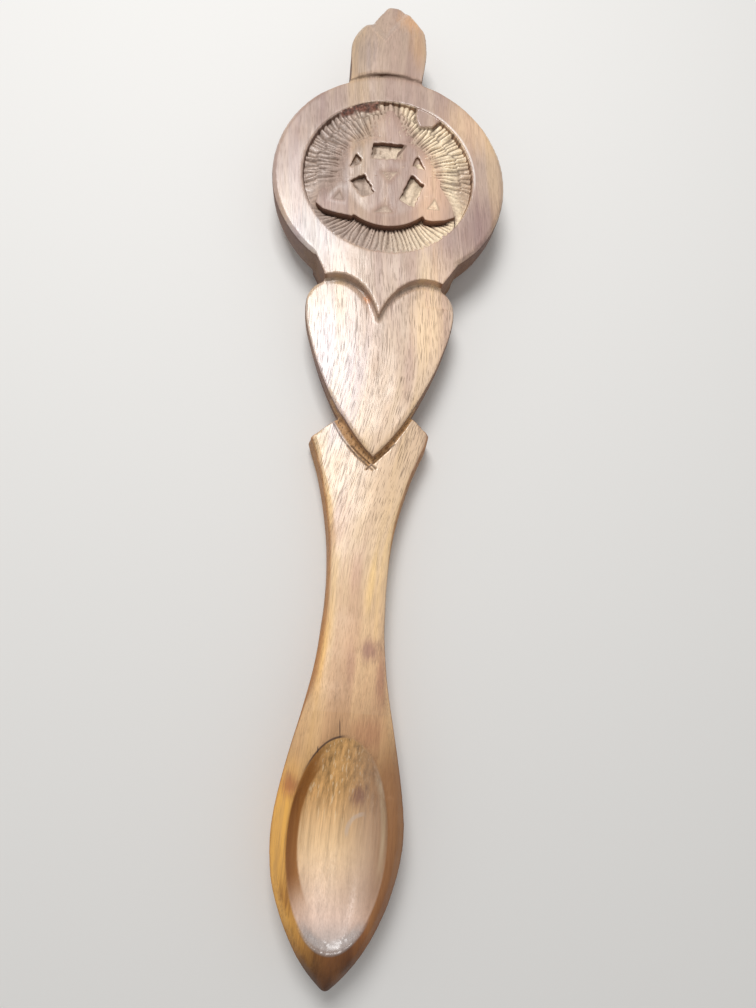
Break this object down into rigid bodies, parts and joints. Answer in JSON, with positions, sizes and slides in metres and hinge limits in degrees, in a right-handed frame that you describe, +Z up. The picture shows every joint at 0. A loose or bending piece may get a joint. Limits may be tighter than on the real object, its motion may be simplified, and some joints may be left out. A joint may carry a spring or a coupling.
{
  "type": "incense spoon",
  "caption": "Carved wooden incense spoon with a leaf-shaped bowl, a waisted handle, a heart, a round medallion with a relief knot and a bud finial.",
  "frame": {"origin": "middle of the spoon's length and width, on the surface that it lies on", "axes": "+Y along the spoon from the bowl to the finial, +X to the right of the carved face, +Z up out of the carved face"},
  "size_m": [0.0372, 0.1524, 0.0092],
  "materials": {
    "bowl_wood": "oiled, satin, golden brown",
    "handle_wood": "oiled, satin, orange brown",
    "head_wood": "oiled, satin, pinkish grey brown",
    "knot_wood": "carved and oiled, low sheen"
  },
  "bodies": {
    "root": {"bowl": "bowl_wood", "handle": "handle_wood", "heart": "head_wood", "medallion": "head_wood", "knot": "knot_wood", "finial": "head_wood"}
  },
  "joints": []
}
